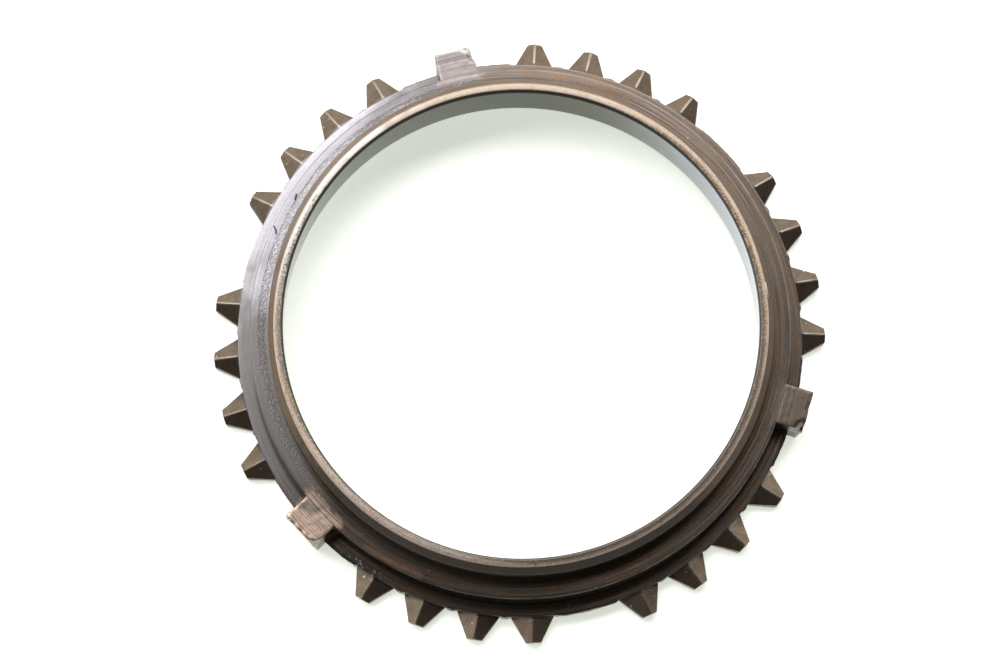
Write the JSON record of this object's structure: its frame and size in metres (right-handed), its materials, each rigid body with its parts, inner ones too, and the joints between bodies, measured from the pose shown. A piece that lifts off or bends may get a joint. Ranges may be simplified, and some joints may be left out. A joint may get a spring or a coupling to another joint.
{
  "type": "synchronizer ring",
  "caption": "Toothed steel ring with an inner friction cone and outer lugs, which matches the speed of a gear to its shaft before a gearbox sleeve engages.",
  "frame": {"origin": "centre of the friction cone's axis on the large end face, the face that the ring lies on", "axes": "+Z along the cone axis towards the small end, +Y through the middle of one lug, +X to its right"},
  "size_m": [0.078, 0.0762, 0.0108],
  "materials": {
    "dark_steel": "turned steel with a dark brown oxide skin, bright and scratched where it is worn"
  },
  "bodies": {
    "root": {"synchronizer_ring": "dark_steel"}
  },
  "joints": []
}
